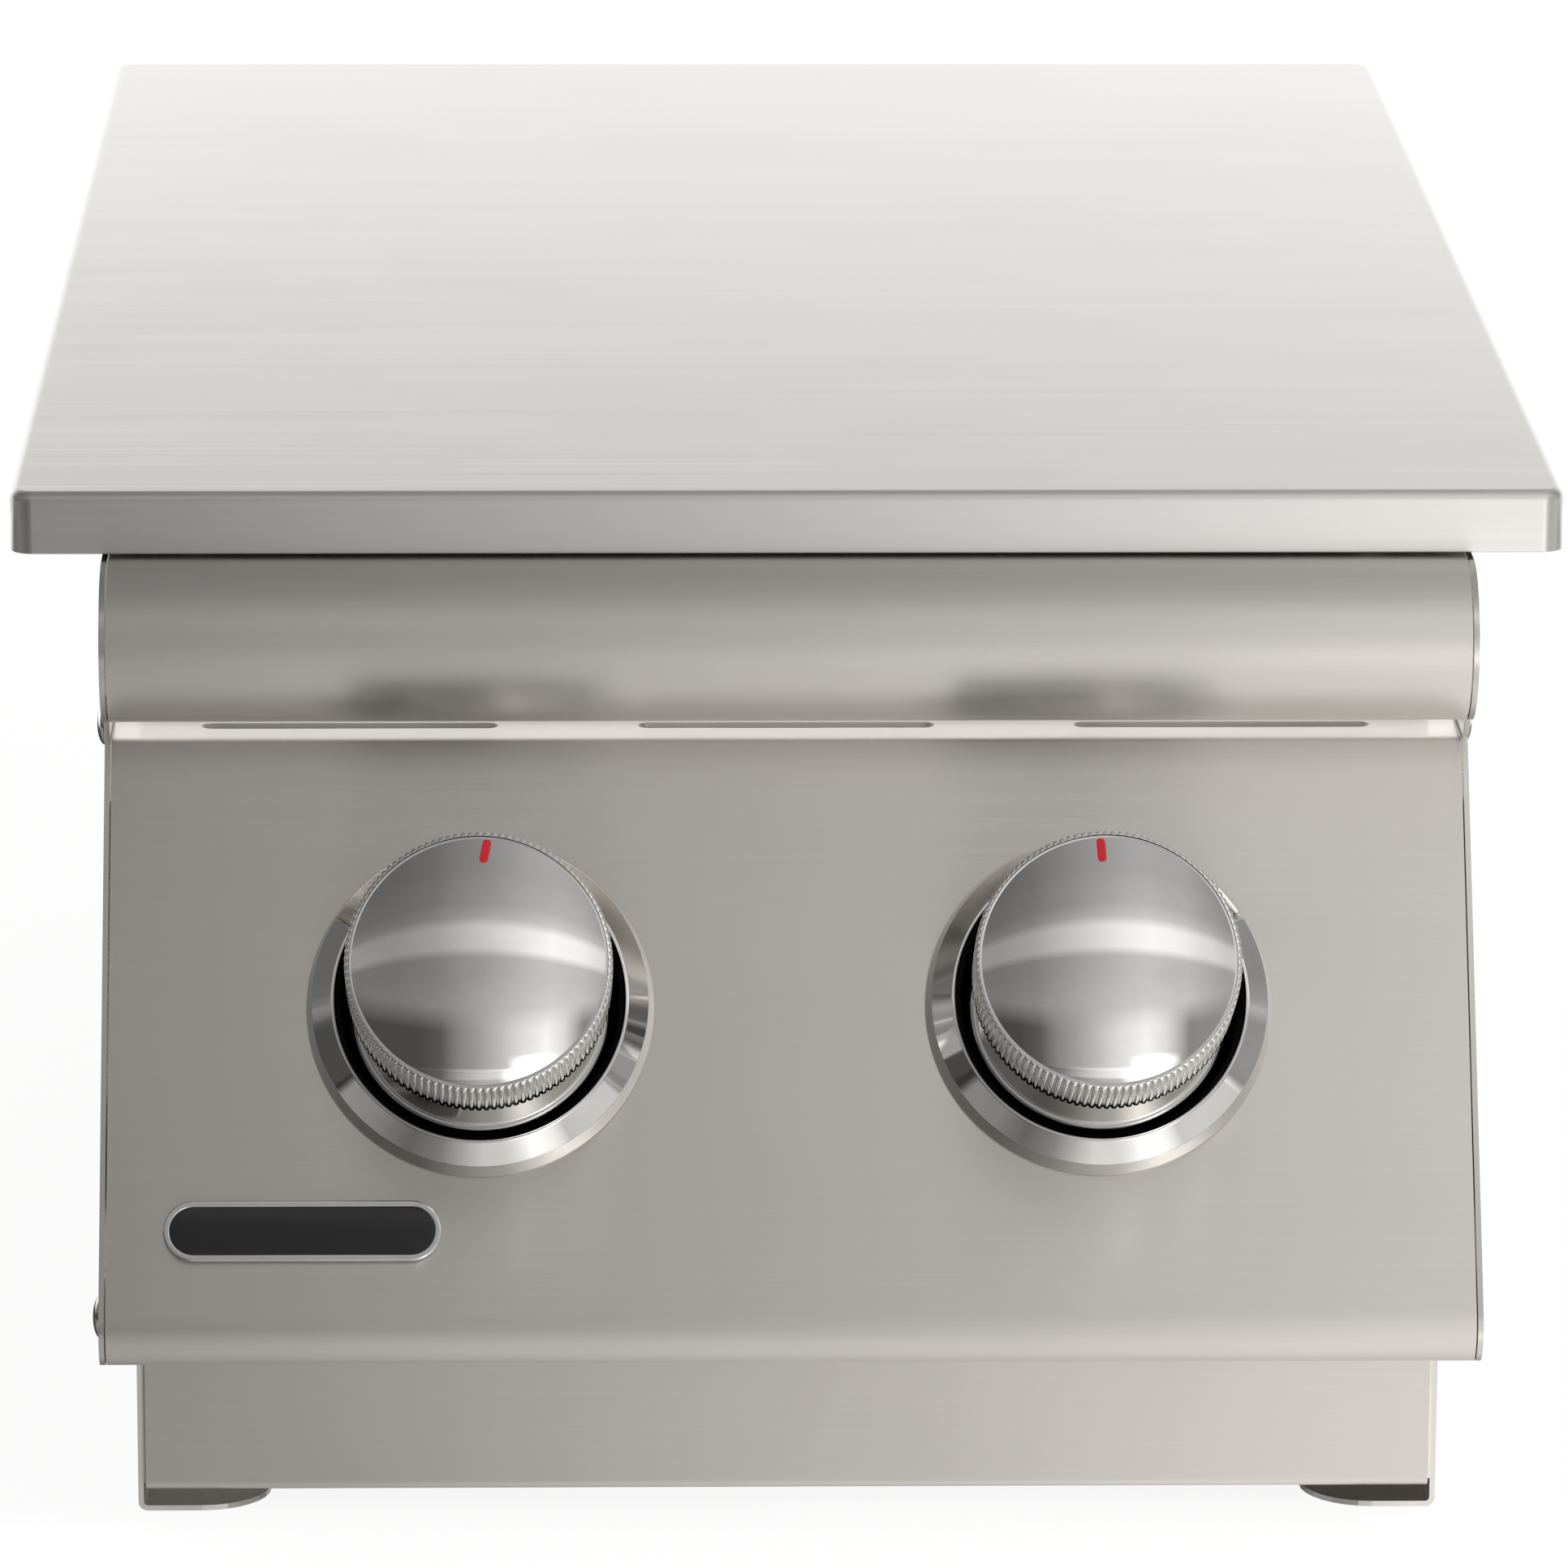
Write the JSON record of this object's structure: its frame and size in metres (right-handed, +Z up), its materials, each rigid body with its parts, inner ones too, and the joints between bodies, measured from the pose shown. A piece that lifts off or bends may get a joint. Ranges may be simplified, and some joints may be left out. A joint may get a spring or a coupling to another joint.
{
  "type": "slide-in side burner",
  "caption": "Slide-in gas side burner of brushed steel: lift-off flat lid, half-round front edge, and a sloped panel with knurled push-and-turn knobs over burners, grates and gas train.",
  "frame": {"origin": "middle of the part's box on the surface the feet stand on", "axes": "+X to the user's right, +Y to the back (the control panel faces -Y), +Z up"},
  "size_m": [0.34, 0.605, 0.2244],
  "materials": {
    "brushed_steel": "brushed along its length",
    "chrome": "polished",
    "galvanised": "galvanised, dull",
    "grate_steel": "plain drawn rod",
    "cast_iron": "rough cast",
    "brass": "turned",
    "badge_enamel": "black enamel with a bright rim",
    "ceramic": "satin",
    "lead_silicone": "smooth silicone sleeve"
  },
  "bodies": {
    "body": {"badge_plate": "badge_enamel", "burner_pan": "brushed_steel", "control_panel": "brushed_steel", "drip_tray": "brushed_steel", "front_bullnose": "brushed_steel", "front_burner_base": "cast_iron", "front_burner_cap": "brass", "front_electrode": "ceramic", "front_grate": "grate_steel", "front_lead": "lead_silicone", "front_venturi": "galvanised", "gas_inlet": "brass", "left_bezel": "chrome", "left_end_plate": "brushed_steel", "left_gas_valve": "brass", "left_lower_bolt": "chrome", "left_manifold_mount": "galvanised", "left_orifice": "brass", "left_side_panel": "brushed_steel", "left_upper_bolt": "chrome", "lower_front_panel": "brushed_steel", "manifold": "galvanised", "rear_burner_base": "cast_iron", "rear_burner_cap": "brass", "rear_electrode": "ceramic", "rear_grate": "grate_steel", "rear_lead": "lead_silicone", "rear_panel": "brushed_steel", "rear_venturi": "galvanised", "right_bezel": "chrome", "right_end_plate": "brushed_steel", "right_gas_valve": "brass", "right_lower_bolt": "chrome", "right_manifold_mount": "galvanised", "right_orifice": "brass", "right_side_panel": "brushed_steel", "right_upper_bolt": "chrome"},
    "lid": {"lid": "brushed_steel"},
    "left_push": {"left_thrust_collar": "galvanised"},
    "left_turn": {"left_knob": "chrome", "left_valve_stem": "brass"},
    "right_push": {"right_thrust_collar": "galvanised"},
    "right_turn": {"right_knob": "chrome", "right_valve_stem": "brass"},
    "front_shutter": {"front_air_shutter": "galvanised"},
    "rear_shutter": {"rear_air_shutter": "galvanised"}
  },
  "joints": [
    {"name": "lid_lift", "type": "slide", "parent": "body", "child": "lid", "axis": [0, 0, 1], "range_m": [0, 0.15]},
    {"name": "left_knob_push", "type": "slide", "parent": "body", "child": "left_push", "axis": [0, 0.8678, -0.497], "range_m": [0, 0.004], "stiffness_N_per_m": 800, "springref_m": -0.006},
    {"name": "left_knob_turn", "type": "hinge", "parent": "left_push", "child": "left_turn", "pos_m": [-0.0675, -0.25016, 0.11528], "axis": [0, -0.8678, 0.497], "range_deg": [0, 225]},
    {"name": "right_knob_push", "type": "slide", "parent": "body", "child": "right_push", "axis": [0, 0.8678, -0.497], "range_m": [0, 0.004], "stiffness_N_per_m": 800, "springref_m": -0.006},
    {"name": "right_knob_turn", "type": "hinge", "parent": "right_push", "child": "right_turn", "pos_m": [0.0675, -0.25016, 0.11528], "axis": [0, -0.8678, 0.497], "range_deg": [0, 225]},
    {"name": "front_shutter_turn", "type": "hinge", "parent": "body", "child": "front_shutter", "pos_m": [-0.0675, -0.19005, 0.09535], "axis": [0, 1, 0], "range_deg": [0, 50]},
    {"name": "rear_shutter_turn", "type": "hinge", "parent": "body", "child": "rear_shutter", "pos_m": [0.0675, -0.19005, 0.09535], "axis": [0, 1, 0], "range_deg": [0, 50]}
  ]
}
